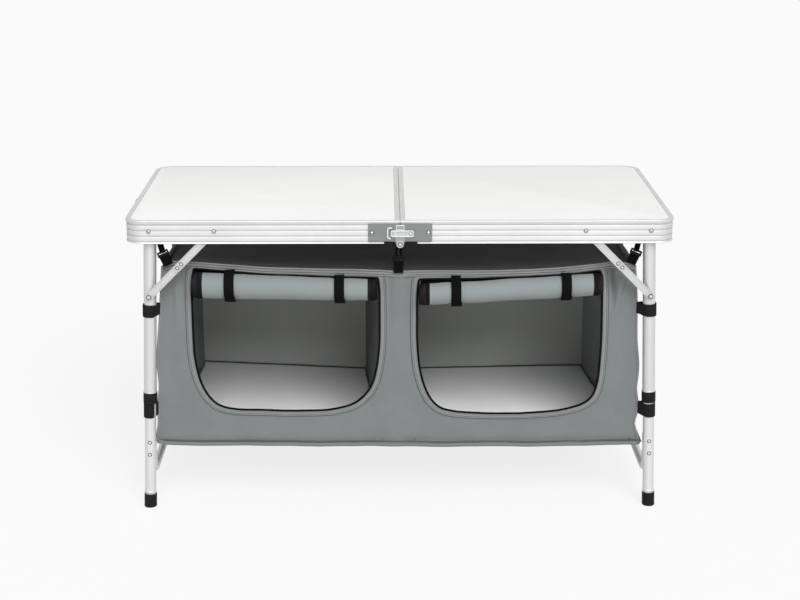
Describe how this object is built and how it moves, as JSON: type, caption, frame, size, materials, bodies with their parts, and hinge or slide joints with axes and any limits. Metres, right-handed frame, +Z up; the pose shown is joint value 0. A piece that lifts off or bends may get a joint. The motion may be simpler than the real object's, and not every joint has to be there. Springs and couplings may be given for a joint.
{
  "type": "folding camp table",
  "caption": "Folding camp table: hinged white halves, telescopic legs with folding braces, and a divided fabric organiser hung below.",
  "frame": {"origin": "on the floor, below the middle of the table", "axes": "+X to the right along the table's length, +Y to its back, +Z up"},
  "size_m": [1.2306, 0.6138, 0.675],
  "materials": {
    "painted_aluminium": "white powder coat, satin",
    "laminate": "white laminate over board, satin",
    "zinc_steel": "zinc plated",
    "grey_plastic": "moulded, satin",
    "black_plastic": "moulded, satin",
    "grey_fabric": "woven polyester, matt",
    "black_webbing": "woven webbing, matt"
  },
  "bodies": {
    "right_half": {"right_frame": "painted_aluminium", "right_top_panel": "laminate", "right_hinge_leaf_front": "zinc_steel", "right_hinge_leaf_rear": "zinc_steel", "right_handle": "grey_plastic", "right_bag": "grey_fabric", "right_door_roll": "grey_fabric", "right_roll_strap_1": "black_webbing", "right_roll_strap_2": "black_webbing", "right_front_hanger": "black_webbing", "right_rear_hanger": "black_webbing", "centre_front_hanger": "black_webbing", "centre_rear_hanger": "black_webbing"},
    "left_half": {"left_frame": "painted_aluminium", "left_top_panel": "laminate", "left_hinge_leaf_front": "zinc_steel", "left_hinge_leaf_rear": "zinc_steel", "left_handle": "grey_plastic", "left_bag": "grey_fabric", "left_door_roll": "grey_fabric", "left_roll_strap_1": "black_webbing", "left_roll_strap_2": "black_webbing", "left_front_hanger": "black_webbing", "left_rear_hanger": "black_webbing"},
    "left_legs": {"left_front_upper_leg": "painted_aluminium", "left_front_collar": "black_plastic", "left_front_leg_loop_1": "black_webbing", "left_front_leg_loop_2": "black_webbing", "left_rear_upper_leg": "painted_aluminium", "left_rear_collar": "black_plastic", "left_rear_leg_loop_1": "black_webbing", "left_rear_leg_loop_2": "black_webbing"},
    "left_extension": {"left_front_lower_leg": "painted_aluminium", "left_front_foot": "black_plastic", "left_rear_lower_leg": "painted_aluminium", "left_rear_foot": "black_plastic", "left_cross_bar": "painted_aluminium"},
    "left_brace_upper": {"left_front_brace_upper": "painted_aluminium", "left_rear_brace_upper": "painted_aluminium"},
    "left_brace_lower": {"left_front_brace_lower": "painted_aluminium", "left_rear_brace_lower": "painted_aluminium"},
    "right_legs": {"right_front_upper_leg": "painted_aluminium", "right_front_collar": "black_plastic", "right_front_leg_loop_1": "black_webbing", "right_front_leg_loop_2": "black_webbing", "right_rear_upper_leg": "painted_aluminium", "right_rear_collar": "black_plastic", "right_rear_leg_loop_1": "black_webbing", "right_rear_leg_loop_2": "black_webbing"},
    "right_extension": {"right_front_lower_leg": "painted_aluminium", "right_front_foot": "black_plastic", "right_rear_lower_leg": "painted_aluminium", "right_rear_foot": "black_plastic", "right_cross_bar": "painted_aluminium"},
    "right_brace_upper": {"right_front_brace_upper": "painted_aluminium", "right_rear_brace_upper": "painted_aluminium"},
    "right_brace_lower": {"right_front_brace_lower": "painted_aluminium", "right_rear_brace_lower": "painted_aluminium"},
    "front_latch": {"front_latch_bar": "zinc_steel"},
    "rear_latch": {"rear_latch_bar": "zinc_steel"}
  },
  "joints": [
    {"name": "table_fold", "type": "hinge", "parent": "right_half", "child": "left_half", "pos_m": [0, 0, 0.6232], "axis": [0, 1, 0], "range_deg": [-76, 0], "deforming": ["left_bag", "right_bag", "left_door_roll", "right_door_roll", "left_roll_strap_1", "left_roll_strap_2", "right_roll_strap_1", "right_roll_strap_2", "centre_front_hanger", "centre_rear_hanger"]},
    {"name": "left_leg_fold", "type": "hinge", "parent": "left_half", "child": "left_legs", "pos_m": [-0.546, 0, 0.6515], "axis": [0, -1, 0], "range_deg": [0, 86.6], "deforming": ["left_bag", "right_bag", "left_door_roll", "right_door_roll", "left_roll_strap_1", "left_roll_strap_2", "right_roll_strap_1", "right_roll_strap_2", "centre_front_hanger", "centre_rear_hanger"]},
    {"name": "left_height", "type": "slide", "parent": "left_legs", "child": "left_extension", "axis": [0.0365, 0, 0.9993], "range_m": [0, 0.045]},
    {"name": "left_brace_upper_turn", "type": "hinge", "parent": "left_half", "child": "left_brace_upper", "pos_m": [-0.404, 0, 0.6515], "axis": [0, 1, 0], "range_deg": [0, 15.5]},
    {"name": "left_brace_lower_turn", "type": "hinge", "parent": "left_legs", "child": "left_brace_lower", "pos_m": [-0.55146, 0, 0.502], "axis": [0, -1, 0], "range_deg": [0, 69.6]},
    {"name": "right_leg_fold", "type": "hinge", "parent": "right_half", "child": "right_legs", "pos_m": [0.546, 0, 0.6515], "axis": [0, 1, 0], "range_deg": [0, 81], "deforming": ["left_bag", "right_bag", "left_door_roll", "right_door_roll", "left_roll_strap_1", "left_roll_strap_2", "right_roll_strap_1", "right_roll_strap_2", "centre_front_hanger", "centre_rear_hanger"]},
    {"name": "right_height", "type": "slide", "parent": "right_legs", "child": "right_extension", "axis": [-0.0365, 0, 0.9993], "range_m": [0, 0.045]},
    {"name": "right_brace_upper_turn", "type": "hinge", "parent": "right_half", "child": "right_brace_upper", "pos_m": [0.404, 0, 0.6515], "axis": [0, -1, 0], "range_deg": [0, 28.1]},
    {"name": "right_brace_lower_turn", "type": "hinge", "parent": "right_legs", "child": "right_brace_lower", "pos_m": [0.55146, 0, 0.502], "axis": [0, 1, 0], "range_deg": [0, 55.3]},
    {"name": "front_latch_turn", "type": "hinge", "parent": "right_half", "child": "front_latch", "pos_m": [0.0226, -0.3048, 0.6473], "axis": [0, 1, 0], "range_deg": [0, 95]},
    {"name": "rear_latch_turn", "type": "hinge", "parent": "right_half", "child": "rear_latch", "pos_m": [0.0226, 0.3048, 0.6473], "axis": [0, 1, 0], "range_deg": [0, 95]}
  ],
  "couplings": [
    {"joint": "left_brace_upper_turn", "follows": "left_leg_fold", "ratio": 0.1763},
    {"joint": "left_brace_lower_turn", "follows": "left_leg_fold", "ratio": 0.8019},
    {"joint": "right_brace_upper_turn", "follows": "right_leg_fold", "ratio": 0.3448},
    {"joint": "right_brace_lower_turn", "follows": "right_leg_fold", "ratio": 0.6803}
  ]
}
